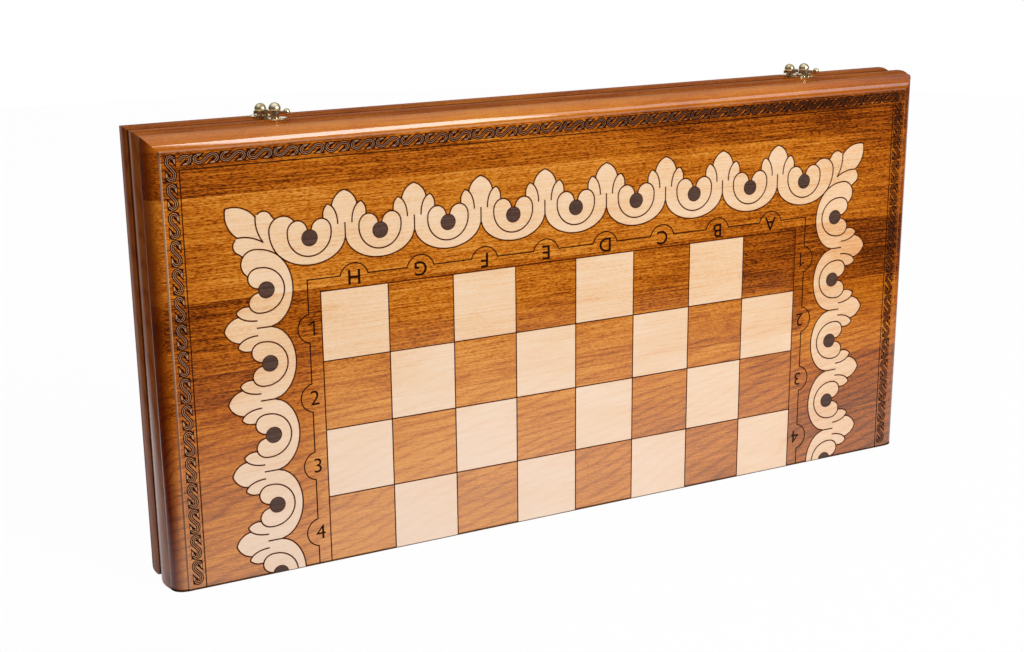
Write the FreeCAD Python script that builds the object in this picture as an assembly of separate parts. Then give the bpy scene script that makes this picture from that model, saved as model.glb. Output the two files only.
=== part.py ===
import FreeCAD, Part
import math
import os

# Folding chess and backgammon board, in millimetres, +Z up.
# It stands closed and latched on its hinge edge, with that edge on z = 0.
# The halves meet on the plane y = 0, the front half's chess face looks along -Y
# and the long side runs along X. Everything is drawn for the front half, and the
# rear half is its mirror image with the light and dark squares exchanged.

# Case
case_width = 600.0
half_height = 300.0
board_thickness = 10.0
wall_height = 22.5
wall_thickness = 14.0
hinge_wall_thickness = 16.0
wall_bulge = 1.8
wall_edge_round = 0.8

# Moulded edge of the chess board: a quirk and then a quarter round
quirk_width = 0.8
quirk_depth = 1.0
edge_break = 0.8

# Scored line inside the carved border
line_margin = 11.0
line_width = 0.8
line_depth = 0.5

# Chess field: light tiles let into the board
square = 47.4
squares_across = 8
squares_up = 4
square_line = 0.6
tile_depth = 1.5
fold_margin = 1.0

# Backgammon field: pointed tiles let into the inner side of the board
points_per_end = 6
point_length = 240.0
point_gap = 3.0
point_tip = 2.0
point_depth = 1.2

# Flush two-pin hinges in the fold
hinge_end_distance = 120.0
pin_offset = 4.0
fold_clearance = 1.0
link_inset = 0.2
link_thickness = 5.0
link_side_gap = 0.25
link_swing_gap = 0.4
pin_diameter = 2.5
pin_gap = 0.05
knuckle_cheek = 6.0
knuckle_back = 2.0
leaf_length = 60.0
leaf_thickness = 2.2
leaf_rim = 2.0
screw_offset = 22.0
screw_head_diameter = 5.0
screw_head_height = 1.2
screw_shank_diameter = 2.6
screw_length = 11.0

# Hook latches on the top edge
latch_end_distance = 92.0
latch_shift = 1.9
latch_reach = 8.0
stud_shift_left = 4.2
stud_shift_right = 1.1
plate_length = 15.0
plate_width = 8.4
plate_thickness = 1.2
lobe_diameter = 5.6
lobe_offset = 3.2
lobe_height = 3.9
lobe_bevel = 0.9
low_lobe_diameter = 4.4
low_lobe_offset = 5.1
low_lobe_height = 2.0
neck_diameter = 3.2
neck_gap = 0.08
shank_depth = 8.0
head_diameter = 8.0
head_height = 4.8
head_rim = 1.2
collar_diameter = 5.4
collar_height = 0.75
hook_thickness = 2.0
hook_play = 0.2
eye_diameter = 8.6
claw_diameter = 9.2
claw_gap = 0.25
arm_width = 4.6
arm_level = 6.5
arm_end_gap = 3.2
tail_width = 3.0
tail_right = 5.0
tail_forward = 8.2
tail_ball_diameter = 4.6
tail_ball_lift = 0.6

# Sizes that follow from those above
case_half = case_width / 2
face_y = -(board_thickness + wall_height)
floor_y = -wall_height
roll_radius = board_thickness - quirk_depth
edge_half = case_half - wall_bulge
face_half = edge_half - roll_radius - quirk_width
edge_top = half_height - wall_bulge
face_top = edge_top - roll_radius - quirk_width
inner_half = case_half - wall_thickness
inner_top = half_height - wall_thickness
fold_round = pin_offset + fold_clearance
link_radius = pin_offset - link_inset
slot_width = link_thickness + 2 * link_side_gap
slot_reach = pin_offset + link_radius + link_swing_gap
knuckle_reach = slot_reach + knuckle_back
knuckle_width = slot_width + 2 * knuckle_cheek
leaf_top = hinge_wall_thickness - leaf_rim
screw_z = (fold_round + leaf_top) / 2

V = FreeCAD.Vector
ALONG_X = V(1, 0, 0)
ALONG_Y = V(0, 1, 0)
ALONG_Z = V(0, 0, 1)
ORIGIN = V(0, 0, 0)


def box(x0, x1, y0, y1, z0, z1):
    return Part.makeBox(x1 - x0, y1 - y0, z1 - z0, V(x0, y0, z0))


def prism(points, lift):
    """Straight-sided solid on a closed outline of points."""
    outline = Part.makePolygon(points + [points[0]])
    return Part.Face(outline).extrude(lift)


def stadium(a, b, radius, lift):
    """Round-ended bar from a to b, as thick as lift."""
    along = (b - a).normalize() * radius
    side = along.cross(lift).normalize() * radius
    edges = [
        Part.LineSegment(a + side, b + side).toShape(),
        Part.Arc(b + side, b + along, b - side).toShape(),
        Part.LineSegment(b - side, a - side).toShape(),
        Part.Arc(a - side, a - along, a + side).toShape(),
    ]
    return Part.Face(Part.Wire(edges)).extrude(lift)


def wall_drop(y):
    """How far the rounded outer face of a wall lies below its crest at depth y."""
    half_chord = wall_height / 2
    radius = (half_chord ** 2 + wall_bulge ** 2) / (2 * wall_bulge)
    across = y + half_chord
    return radius - math.sqrt(radius ** 2 - across ** 2)


plate_y = -latch_reach
seat_z = half_height - wall_drop(plate_y + plate_width / 2)
plate_top = seat_z + plate_thickness
claw_z = plate_top + collar_height + hook_play
stud_head_z = claw_z + hook_thickness + hook_play
eye_z = seat_z + lobe_height + hook_play
post_head_z = eye_z + hook_thickness + hook_play


def moulded_prism(place, low, high, lift):
    """Board section with a quirk and quarter round on its high side, and on its low side too
    where low is the mirror of high. place(across, y) gives a point of the section."""
    bend = math.sqrt(0.5) * roll_radius

    def moulding(edge, out):
        face = edge - out * (roll_radius + quirk_width)
        start = edge - out * roll_radius
        top = place(start, floor_y - roll_radius)
        middle = place(start + out * bend, floor_y - bend)
        end = place(edge, floor_y)
        quirk = Part.LineSegment(place(face, face_y), top).toShape()
        return [quirk, Part.Arc(top, middle, end).toShape()]

    high_edges = moulding(high, 1)
    face_high = high_edges[0].Vertexes[0].Point
    if low < 0:
        low_edges = moulding(low, -1)
        face_low = low_edges[0].Vertexes[0].Point
    else:
        face_low = place(low + edge_break, face_y)
        foot = place(low, face_y + edge_break)
        low_edges = [
            Part.LineSegment(face_low, foot).toShape(),
            Part.LineSegment(foot, place(low, floor_y)).toShape(),
        ]
    face = Part.LineSegment(face_low, face_high).toShape()
    back = Part.LineSegment(place(low, floor_y), place(high, floor_y)).toShape()
    wire = Part.Wire(Part.__sortEdges__([face] + high_edges + [back] + low_edges))
    return Part.Face(wire).extrude(lift)


def border_cut(margin, width, depth):
    """Three-sided channel in the chess face, open at the fold."""
    outer = face_half - margin
    top = face_top - margin
    whole = box(-outer, outer, face_y, face_y + depth, 0, top)
    return whole.cut(box(width - outer, outer - width, face_y, face_y + depth, 0, top - width))


def light_tiles(light_beside_fold):
    """The light squares; light_beside_fold says if the square at the left of the fold is light."""
    tiles = []
    inset = square_line / 2
    left = -square * squares_across / 2
    for column in range(squares_across):
        for row in range(squares_up):
            if ((column + row) % 2 == 0) != light_beside_fold:
                continue
            x0 = left + column * square
            z0 = row * square
            foot = fold_margin if row == 0 else z0 + inset
            tiles.append(box(x0 + inset, x0 + square - inset, face_y, face_y + tile_depth,
                             foot, z0 + square - inset))
    return tiles


def point_tiles(light):
    """The light or the dark pointed tiles of one half's backgammon field."""
    tiles = []
    pitch = (inner_top - hinge_wall_thickness) / points_per_end
    half_base = (pitch - point_gap) / 2
    for end in (-1, 1):
        for number in range(points_per_end):
            if (number + (end > 0)) % 2 == int(light):
                continue
            z = hinge_wall_thickness + (number + 0.5) * pitch
            base = end * inner_half
            tip = end * (inner_half - point_length)
            outline = [
                V(base, floor_y, z - half_base),
                V(tip, floor_y, z - point_tip / 2),
                V(tip, floor_y, z + point_tip / 2),
                V(base, floor_y, z + half_base),
            ]
            tiles.append(prism(outline, ALONG_Y * -point_depth))
    return tiles


def board(tiles, points):
    """Edge-glued board: chess field outside, backgammon field inside, moulded on three sides."""
    plan = moulded_prism(lambda across, y: V(across, y, 0), -edge_half, edge_half, ALONG_Z * half_height)
    side = moulded_prism(lambda across, y: V(-case_half, y, across), 0, edge_top, ALONG_X * case_width)
    body = plan.common(side)
    body = body.cut(tiles + points)
    return body.cut(border_cut(line_margin, line_width, line_depth))


def wall_prism(place, crest, lift):
    """Wall section with a rounded outer face; place(across, y) gives a point of the section."""
    inner = crest - wall_thickness
    edge = crest - wall_bulge
    rim_in = place(inner, 0)
    rim_out = place(edge, 0)
    foot_out = place(edge, floor_y)
    foot_in = place(inner, floor_y)
    edges = [
        Part.LineSegment(rim_in, rim_out).toShape(),
        Part.Arc(rim_out, place(crest, floor_y / 2), foot_out).toShape(),
        Part.LineSegment(foot_out, foot_in).toShape(),
        Part.LineSegment(foot_in, rim_in).toShape(),
    ]
    solid = Part.Face(Part.Wire(edges)).extrude(lift)
    corners = [rim_out, foot_out]
    long_edges = []
    for edge_line in solid.Edges:
        ends = [vertex.Point for vertex in edge_line.Vertexes]
        for corner in corners:
            if any(end.isEqual(corner, 0.001) for end in ends) and \
                    any(end.isEqual(corner + lift, 0.001) for end in ends):
                long_edges.append(edge_line)
    return solid.makeFillet(wall_edge_round, long_edges)


def fold_cutter():
    """What is taken off the fold corner so that the halves can roll past each other."""
    corner = box(-case_half, case_half, -fold_round, 0, 0, fold_round)
    roll = Part.makeCylinder(fold_round, case_width, V(-case_half, -fold_round, fold_round), ALONG_X)
    return corner.cut(roll)


def side_wall(side):
    """Left or right wall, mitred at the top and cut round for the roll of the fold."""
    solid = wall_prism(lambda across, y: V(side * across, y, 0), case_half, ALONG_Z * half_height)
    corner = V(side * case_half, floor_y, half_height)
    outline = [
        V(side * case_half, floor_y, 0),
        corner,
        V(side * inner_half, floor_y, inner_top),
        V(side * inner_half, floor_y, 0),
    ]
    return solid.common(prism(outline, ALONG_Y * wall_height)).cut(fold_cutter())


def latch_x(side):
    return side * (case_half - latch_end_distance) + latch_shift


def stud_x(side):
    return latch_x(side) - (stud_shift_left if side < 0 else stud_shift_right)


def plate_centre(side, stud):
    return V(stud_x(side) if stud else latch_x(side), plate_y, seat_z)


def latch_plate(side, stud):
    """Round-ended plate; the right hook turns on two tall lobes, the left stud has a low one on each side."""
    centre = plate_centre(side, stud)
    half = plate_length / 2 - plate_width / 2
    plate = stadium(centre - ALONG_X * half, centre + ALONG_X * half, plate_width / 2,
                    ALONG_Z * plate_thickness)
    if stud == (side < 0):
        diameter = low_lobe_diameter if stud else lobe_diameter
        offset = low_lobe_offset if stud else lobe_offset
        height = low_lobe_height if stud else lobe_height
        bevel = low_lobe_height - plate_thickness if stud else lobe_bevel
        for way in (-1, 1):
            lobe = Part.makeCylinder(diameter / 2, height, centre + ALONG_X * way * offset)
            rims = [edge for edge in lobe.Edges if edge.BoundBox.ZMin > seat_z + plate_thickness]
            plate = plate.fuse(lobe.makeChamfer(bevel, rims))
        plate = plate.removeSplitter()
    return plate.cut(Part.makeCylinder(neck_diameter / 2, lobe_height, centre))


def latch_post(side, stud):
    """Post with a domed head over the hook, and a collar under it where no lobes carry the hook."""
    centre = plate_centre(side, stud)
    neck = neck_diameter / 2
    head = head_diameter / 2
    foot = seat_z - shank_depth
    bend = math.sqrt(0.5)
    dome_height = head_height - head_rim
    dome_radius = (head ** 2 + dome_height ** 2) / (2 * dome_height)
    head_z = stud_head_z if stud else post_head_z
    dome_centre = head_z + head_height - dome_radius

    def point(radius, z):
        return V(centre.x + radius, centre.y, z)

    corners = [point(0, foot), point(neck, foot)]
    if stud or side < 0:
        collar = collar_diameter / 2
        collar_top = plate_top + collar_height if stud else seat_z + lobe_height
        corners += [point(neck, plate_top), point(collar, plate_top)]
        corners += [point(collar, collar_top), point(neck, collar_top)]
    corners += [point(neck, head_z), point(head - head_rim / 2, head_z), point(head, head_z + head_rim)]
    crown = point(0, head_z + head_height)
    middle = point(dome_radius * bend, dome_centre + dome_radius * bend)
    edges = Part.makePolygon(corners).Edges
    edges.append(Part.Arc(corners[-1], middle, crown).toShape())
    edges.append(Part.LineSegment(crown, corners[0]).toShape())
    return Part.Face(Part.Wire(edges)).revolve(centre, ALONG_Z, 360)


def top_wall(stud):
    """Mitred top wall with the seats and holes of both latches."""
    solid = wall_prism(lambda across, y: V(-case_half, y, across), half_height, ALONG_X * case_width)
    outline = [
        V(-case_half, floor_y, half_height),
        V(case_half, floor_y, half_height),
        V(inner_half, floor_y, inner_top),
        V(-inner_half, floor_y, inner_top),
    ]
    solid = solid.common(prism(outline, ALONG_Y * wall_height))
    half = plate_length / 2 - plate_width / 2
    for side in (-1, 1):
        centre = plate_centre(side, stud)
        seat = stadium(centre - ALONG_X * half, centre + ALONG_X * half, plate_width / 2,
                       ALONG_Z * (half_height - seat_z))
        solid = solid.cut(seat)
        solid = solid.cut(Part.makeCylinder(neck_diameter / 2, shank_depth, centre, -ALONG_Z))
    return solid


def latch_hook(side):
    """Cranked hook: eye on the front post, claw round the lower rear stud, tail with a finger ball."""
    pivot = V(latch_x(side), plate_y, eye_z)
    foot = V(pivot.x, pivot.y, claw_z)
    stud = V(stud_x(side), -plate_y, claw_z)
    tail = pivot + V(tail_right, -tail_forward, 0)
    lift = ALONG_Z * hook_thickness
    reach = (stud - foot).Length
    along = (stud - foot).normalize()
    left = ALONG_Z.cross(along)
    high = pivot + along * arm_level - left * (arm_width / 2)
    low = foot + along * (reach - arm_end_gap) - left * (arm_width / 2)
    arm = stadium(pivot, pivot + along * arm_level, arm_width / 2, lift).fuse([
        prism([high, low, low + lift, high + lift], left * arm_width),
        Part.makeCylinder(eye_diameter / 2, hook_thickness, pivot),
        Part.makeCylinder(claw_diameter / 2, hook_thickness, stud),
        stadium(pivot, tail, tail_width / 2, lift),
        Part.makeSphere(tail_ball_diameter / 2, tail + ALONG_Z * (hook_thickness / 2 + tail_ball_lift)),
    ]).removeSplitter()
    slot_half = neck_diameter / 2 + claw_gap
    ring = Part.makeCylinder(reach + slot_half, hook_thickness, foot)
    ring = ring.cut(Part.makeCylinder(reach - slot_half, hook_thickness, foot))
    corner_in = stud - along * claw_diameter
    corner_out = stud + along * claw_diameter
    mouth_side = prism([corner_in, corner_out, corner_out + left * claw_diameter,
                        corner_in + left * claw_diameter], lift)
    arm = arm.cut(ring.common(mouth_side))
    arm = arm.cut(Part.makeCylinder(slot_half, hook_thickness, stud))
    return arm.cut(Part.makeCylinder(neck_diameter / 2 + neck_gap, hook_thickness, pivot))


def hinge_x(side):
    return side * (case_half - hinge_end_distance)


def leaf_blank(x):
    """Outer form of a hinge leaf: a plate in the rim with a knuckle block in the fold."""
    half = leaf_length / 2
    plate = box(x - half, x + half, -leaf_thickness, 0, fold_round, leaf_top)
    knuckle = box(x - knuckle_width / 2, x + knuckle_width / 2, -knuckle_reach, 0, 0, knuckle_reach)
    return plate.fuse(knuckle).removeSplitter()


def screw_places(x):
    return [V(x + way * screw_offset, 0, screw_z) for way in (-1, 1)]


def hinge_screw(place):
    """Countersunk screw driven along -Y."""
    head = screw_head_diameter / 2
    shank = screw_shank_diameter / 2
    cone = Part.makeCone(head, shank, screw_head_height, place, -ALONG_Y)
    shank = Part.makeCylinder(shank, screw_length, place, -ALONG_Y)
    return cone.fuse(shank).removeSplitter()


def hinge_pin(x):
    start = V(x - knuckle_width / 2, -pin_offset, pin_offset)
    return Part.makeCylinder(pin_diameter / 2, knuckle_width, start, ALONG_X)


def hinge_leaf(x):
    """Leaf with the slot for the link, the pin bore and two countersunk holes."""
    leaf = leaf_blank(x).cut(fold_cutter())
    half = slot_width / 2
    leaf = leaf.cut(box(x - half, x + half, -slot_reach, 0, 0, slot_reach))
    leaf = leaf.cut(hinge_pin(x))
    return leaf.cut([hinge_screw(place) for place in screw_places(x)])


def hinge_wall():
    """Wall along the fold, with a mortise for each hinge leaf."""
    solid = box(-inner_half, inner_half, floor_y, 0, 0, hinge_wall_thickness)
    for side in (-1, 1):
        solid = solid.cut(leaf_blank(hinge_x(side)))
        solid = solid.cut([hinge_screw(place) for place in screw_places(hinge_x(side))])
    return solid.cut(fold_cutter())


def hinge_link(side):
    """Round-ended link that turns on one pin in each half."""
    x = hinge_x(side) - link_thickness / 2
    front = V(x, -pin_offset, pin_offset)
    rear = V(x, pin_offset, pin_offset)
    link = stadium(front, rear, link_radius, ALONG_X * link_thickness)
    for pin in (front, rear):
        link = link.cut(Part.makeCylinder(pin_diameter / 2 + pin_gap, link_thickness, pin, ALONG_X))
    return link


def half_pieces(stud, light_beside_fold):
    """All pieces of one half, drawn as the front half; stud gives it latch studs, not hook posts."""
    tiles = light_tiles(light_beside_fold)
    light_points = point_tiles(True)
    dark_points = point_tiles(False)
    places = [place for side in (-1, 1) for place in screw_places(hinge_x(side))]
    pieces = {
        "board": board(tiles, light_points + dark_points),
        "top_wall": top_wall(stud),
        "left_wall": side_wall(-1),
        "right_wall": side_wall(1),
        "hinge_wall": hinge_wall(),
        "light_squares": Part.makeCompound(tiles),
        "light_points": Part.makeCompound(light_points),
        "dark_points": Part.makeCompound(dark_points),
        "hinge_pins": Part.makeCompound([hinge_pin(hinge_x(side)) for side in (-1, 1)]),
        "hinge_screws": Part.makeCompound([hinge_screw(place) for place in places]),
    }
    for side, word in ((-1, "left"), (1, "right")):
        pieces["hinge_leaf_" + word] = hinge_leaf(hinge_x(side))
        pieces["latch_plate_" + word] = latch_plate(side, stud)
        pieces["latch_post_" + word] = latch_post(side, stud)
    return pieces


def save(name, shape):
    shape.exportStep("parts/" + name + ".step")


os.makedirs("parts", exist_ok=True)
for name, shape in half_pieces(False, False).items():
    save("front_" + name, shape)
for name, shape in half_pieces(True, True).items():
    save("rear_" + name, shape.mirror(ORIGIN, ALONG_Y))
for side, word in ((-1, "left"), (1, "right")):
    save("hinge_link_" + word, hinge_link(side))
    save("latch_hook_" + word, latch_hook(side))
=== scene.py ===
import math

import bmesh
import bpy
import numpy as np
from mathutils import Matrix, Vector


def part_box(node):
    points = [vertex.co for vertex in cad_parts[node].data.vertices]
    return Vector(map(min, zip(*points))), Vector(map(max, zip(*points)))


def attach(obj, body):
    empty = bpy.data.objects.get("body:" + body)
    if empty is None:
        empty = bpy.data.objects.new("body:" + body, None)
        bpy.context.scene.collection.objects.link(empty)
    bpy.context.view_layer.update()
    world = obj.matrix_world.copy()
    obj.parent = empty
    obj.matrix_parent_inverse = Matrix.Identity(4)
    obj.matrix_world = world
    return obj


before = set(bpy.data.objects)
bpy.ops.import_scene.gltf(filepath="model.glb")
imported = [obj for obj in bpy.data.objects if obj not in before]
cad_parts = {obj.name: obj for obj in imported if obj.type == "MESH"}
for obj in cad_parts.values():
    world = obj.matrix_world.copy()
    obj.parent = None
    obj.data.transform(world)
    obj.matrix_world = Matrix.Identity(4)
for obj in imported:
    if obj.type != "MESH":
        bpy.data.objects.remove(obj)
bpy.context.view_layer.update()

# Lengths are in metres
mm = 0.001

# Places read from the frame
face_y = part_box("front_board")[0].y
tile_low, tile_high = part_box("front_light_squares")
tile_gap = 0.6 * mm
squares_across = 8
squares_up = 4
square = (tile_high.x - tile_low.x + tile_gap) / squares_across
field_half = square * squares_across / 2
field_top = square * squares_up
fold_edge = 0.9 * mm

# Layers of the surface work: how far each stands out of the chess face, and how deep it is let in
inlay_rise = 0.02 * mm
dot_rise = 0.03 * mm
line_rise = 0.04 * mm
inlay_depth = 0.6 * mm
line_depth = 0.3 * mm

# Scallop border: one dot in each scallop, nine scallops to a side of the open board
scallop_pitch = 48.85 * mm
scallop_reach = 225.9 * mm
scallops_from_middle = 4
burnt_line = 1.0 * mm

# Line round the chess field, with a bow round each letter and numeral
frame_reach = 198.3 * mm
bow_radius = 10.0 * mm
bow_height = 7.8 * mm
field_line = 0.85 * mm
letter_height = 10.0 * mm
letter_swell = 0.012  # share of the type size by which each stroke grows outward
letter_reach = 196.6 * mm

# Carved border near the board's edge: a row of S scrolls, each cut as three lines with a ridge between them.
# The row ends in a corner with half a scroll, and so does the right column.
scroll_reach = 282.25 * mm
row_reach = 282.9 * mm
row_first = -277.2 * mm
row_pitch = 17.22 * mm
row_scrolls = 33
column_first = 12.55 * mm
column_pitch = 17.72 * mm
column_scrolls = 16
scroll_hook = (3.1, 2.3)
scroll_hook_middle = 4.2
scroll_line_gap = 1.1
scroll_hook_end = -68
scroll_line = 0.7 * mm


# Mesh making

# Points, and edges with no length, that are merged when a piece is made
point_merge = 1e-4 * mm
edge_merge = 1e-5 * mm


def outward(points, faces):
    """Turns a closed skin's quads round if the volume under them, summed as triple products, is negative."""
    a, b, c, d = (points[faces[:, i]] for i in range(4))
    volume = np.einsum("ij,ij->", a, np.cross(b, c)) + np.einsum("ij,ij->", a, np.cross(c, d))
    return faces if volume > 0 else faces[:, ::-1]


def loft(rings):
    """Closed skin through rings of points, as a grid of rings by ring points: ring i joins ring i + 1,
    and the first and last rings are drawn together to their middles."""
    count = rings.shape[1]
    ends = [np.repeat(rings[i:i + 1].mean(1, keepdims=True), count, 1) for i in (0, len(rings) - 1)]
    rings = np.concatenate([ends[0], rings, ends[1]])
    index = np.arange(len(rings) * count).reshape(len(rings), count)
    here, along = index[:-1], index[1:]
    quads = np.stack([here, along, np.roll(along, -1, 1), np.roll(here, -1, 1)], -1).reshape(-1, 4)
    points = rings.reshape(-1, 3)
    return points, outward(points, quads)


def gather(parts):
    """Joins skins into one, each one's faces numbered on from the last."""
    starts = np.cumsum([0] + [len(points) for points, faces in parts[:-1]])
    points = np.concatenate([points for points, faces in parts])
    faces = np.concatenate([faces + start for (points, faces), start in zip(parts, starts)])
    return points, faces


def make_piece(name, skin, material, body):
    """A skin's points and faces made a mesh, its doubled points and closed ends merged, and set on a body."""
    points, faces = skin
    mesh = bpy.data.meshes.new(name)
    mesh.from_pydata(points.tolist(), [], faces.tolist())
    work = bmesh.new()
    work.from_mesh(mesh)
    bmesh.ops.remove_doubles(work, verts=work.verts, dist=point_merge)
    bmesh.ops.dissolve_degenerate(work, edges=work.edges, dist=edge_merge)
    work.to_mesh(mesh)
    work.free()
    mesh.materials.append(material)
    piece = bpy.data.objects.new(name, mesh)
    bpy.context.scene.collection.objects.link(piece)
    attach(piece, body)


def half_turn(points):
    """The rear half's place of a front piece: turned half round about the upright axis."""
    return points * np.array([-1.0, -1.0, 1.0])


def both_halves(name, skin, material):
    """A piece on the front half and its twin on the rear half."""
    points, faces = skin
    make_piece("front_" + name, (points, faces), material, "front_half")
    make_piece("rear_" + name, (half_turn(points), faces), material, "rear_half")


# Surface work on the chess face

def arc(centre, radii, start, end, count=16):
    """Ellipse arc: the centre plus the radii times the cosine and sine of an angle from start to end."""
    angle = np.radians(np.linspace(start, end, count))
    return np.stack([centre[0] + radii[0] * np.cos(angle), centre[1] + radii[1] * np.sin(angle)], 1)


def bow(start, pull, end, count=12):
    """Quadratic curve from start to end, drawn towards pull."""
    t = np.linspace(0, 1, count)[:, None]
    return (1 - t) ** 2 * np.array(start) + 2 * t * (1 - t) * np.array(pull) + t ** 2 * np.array(end)


def on_face(plan, rise):
    """Plan points (x, z) as points that stand rise in front of the chess face."""
    return np.stack([plan[:, 0], np.full(len(plan), face_y - rise), np.maximum(plan[:, 1], fold_edge)], 1)


def ribbon(path, width, rise, depth, overrun=0.0):
    """Flat bar: a rectangle carried along a plan path, square to it, from depth below the face to rise above
    it, and longer at both ends by the overrun."""
    step = np.gradient(path, axis=0)
    step /= np.linalg.norm(step, axis=1, keepdims=True)
    path = path.copy()
    path[0] -= step[0] * overrun
    path[-1] += step[-1] * overrun
    side = np.stack([-step[:, 1], step[:, 0]], 1) * width / 2
    corners = [on_face(path + side, rise), on_face(path - side, rise),
               on_face(path - side, -depth), on_face(path + side, -depth)]
    return loft(np.stack(corners, 1))


def slab(upper, lower, rise, depth):
    """Flat inlay between two plan curves: each upper point is ruled straight to its lower point."""
    corners = [on_face(upper, rise), on_face(lower, rise), on_face(lower, -depth), on_face(upper, -depth)]
    return loft(np.stack(corners, 1))


def disc(centre, radius, rise, depth, count=48):
    """Flat round inlay: one ring at the face and one below, both closed to their middles."""
    plan = arc(centre, (radius, radius), 0, 360 - 360 / count, count)
    return loft(np.stack([on_face(plan, rise), on_face(plan, -depth)]))


# One scallop of the border, drawn in millimetres from its dot: along the border, then outwards.
# Half a scallop is drawn; its other half is the mirror image.
half_pitch = scallop_pitch / 2 / mm
hollow = (24.6, 17.8)
cup = (14.8, 15.0)
cup_middle = 2.9
curl = (6.8, 7.5)
curl_middle = (8.0, 4.4)
dot_radius = 5.35
leaf_root = 14.9
leaf_start = 11.6
leaf_middle = 14.0
leaf_radius = 8.58
vein_radii = (7.3, 13.4)
vein_middle = (12.2, 7.3)
ogive_radius = 12.1
ogive_half_width = 8.9
ogive_middle = 17.5
end_curl = (9.3, 9.4)
end_curl_middle = (17.6, 6.5)
end_hollow = (18.9, 22.1)
end_hollow_middle = (8.0, 6.5)
corner_meeting = 19.1
heart_height = 4.0
vein_heights = (-2.2, 2.5, 7.3)

# Angles in degrees where the arcs of a scallop start and end
curl_start = 173
curl_end = 77
end_scallop_curl_end = 74
leaf_turn = 50.3
leaf_tip = 87
leaf_end = 62
ogive_turn = (173, 105.4)
end_curl_turn = 146


def hollow_edge(along):
    """Lower edge of a scallop: the ellipse of the hollow."""
    plain = -hollow[1] * np.sqrt(1 - (along / hollow[0]) ** 2)
    return np.stack([along, plain], 1)


def end_edge(along):
    """Lower edge of a scallop that ends at a corner: the hollow, then the outer ellipse of the end curl."""
    plain = -hollow[1] * np.sqrt(np.clip(1 - (along / hollow[0]) ** 2, 0, 1))
    share = np.clip((along - end_hollow_middle[0]) / end_hollow[0], -1, 1)
    curled = end_hollow_middle[1] - end_hollow[1] * np.sqrt(1 - share ** 2)
    return np.stack([along, np.where(along < corner_meeting, plain, curled)], 1)


def leaf_outside():
    """Outer edge of a side leaf: straight up from the cup, then an arc to the tip."""
    root = half_pitch - leaf_root
    rise = arc((root + leaf_radius, leaf_middle), (leaf_radius, leaf_radius), 180, 180 - leaf_turn, 10)
    return np.concatenate([[[root, leaf_start]], rise])


def leaf_inside(end):
    """Inner edge of a side leaf: the vein's ellipse from the leaf's tip down to the angle end."""
    middle = (half_pitch - vein_middle[0], vein_middle[1])
    return arc(middle, vein_radii, leaf_tip, end, 14)


def ogive():
    """One side of the pointed middle leaf: an arc from the side leaf to the tip."""
    middle = (half_pitch - ogive_half_width + ogive_radius, ogive_middle)
    return arc(middle, (ogive_radius, ogive_radius), *ogive_turn, 14)


def cup_curl(end):
    """Curled lip of the cup: an ellipse arc from the dot over its top to the angle end."""
    return arc(curl_middle, curl, curl_start, end, 18)


def scallop_slab(place, at_corner):
    """Pale inlay of half a scallop, ruled along the outward direction between its upper and lower edges."""
    start = np.array([[0.0, heart_height]])
    if at_corner:
        end = arc(end_curl_middle, end_curl, end_curl_turn, 0, 24)
        upper = np.concatenate([start, cup_curl(end_scallop_curl_end), end])
        lower = end_edge(upper[:, 0])
    else:
        upper = np.concatenate([start, cup_curl(curl_end), leaf_outside(), leaf_inside(leaf_end), ogive()])
        upper[-1, 0] = half_pitch
        lower = hollow_edge(upper[:, 0])
    return slab(place(upper), place(lower), inlay_rise, inlay_depth)


def scallop_lines(at_corner):
    """Burnt lines of half a scallop: its cup, hollow, side leaf, pointed leaf and middle vein, or at a corner
    its cup, hollow and end curl."""
    cup_line = np.concatenate([cup_curl(0), arc((0, cup_middle), cup, 0, -90, 18)])
    if at_corner:
        turn = math.degrees(math.acos((corner_meeting - end_hollow_middle[0]) / end_hollow[0]))
        return [cup_line, end_edge(np.linspace(0, corner_meeting - 0.1, 14)),
                arc(end_hollow_middle, end_hollow, -turn, 0, 16),
                arc(end_curl_middle, end_curl, 0, end_curl_turn, 24)]
    vein = np.concatenate([leaf_outside(), leaf_inside(0)])
    axis = np.array([[half_pitch, height] for height in vein_heights])
    return [cup_line, hollow_edge(np.linspace(0, half_pitch, 20)), vein, ogive(), axis]


# Corner leaf, drawn in millimetres: along the diagonal from the board's middle, then to its side
corner_root = 320.3
corner_joint = (335.2, 8.9)
corner_ogive_middle = 338.0
corner_ogive_radius = 18.1
corner_lobe = (329.6, 10.8)
corner_lobe_radius = 5.6
corner_lobe_end = (324.4, 15.6)
corner_ogive_turn = (30.5, 99)
corner_lobe_turn = 112
corner_vein_pull = (330, 2.2)
crescent_start = 26.8


def corner_ogive():
    """One side of the corner's pointed leaf: an arc from its tip to the side lobe."""
    middle = (corner_ogive_middle, corner_joint[1] - corner_ogive_radius)
    return arc(middle, (corner_ogive_radius, corner_ogive_radius), *corner_ogive_turn, 14)


def corner_side():
    """Side lobe of the corner leaf: an arc, then straight to the lobe's end."""
    lobe = arc(corner_lobe, (corner_lobe_radius, corner_lobe_radius), 0, corner_lobe_turn, 16)
    return np.concatenate([lobe, [corner_lobe_end]])


def diagonal(plan, way):
    """Points along and beside a corner's diagonal, turned by 45 degrees to lie along and outside the border."""
    along = plan[:, 0] - way * plan[:, 1]
    out = plan[:, 0] + way * plan[:, 1]
    return np.stack([along, out], 1) / math.sqrt(2)


def from_dot(k, way):
    """Place of half a scallop: the k-th dot from the middle, drawn in the direction way."""
    def place(plan):
        along = k * scallop_pitch + way * plan[:, 0] * mm
        return np.stack([along, scallop_reach + plan[:, 1] * mm], 1)
    return place


def sides(plan):
    """A border drawing (along, out) on the right and left columns of the half board."""
    turned = plan[:, ::-1]
    return [turned, turned * np.array([-1.0, 1.0])]


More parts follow.
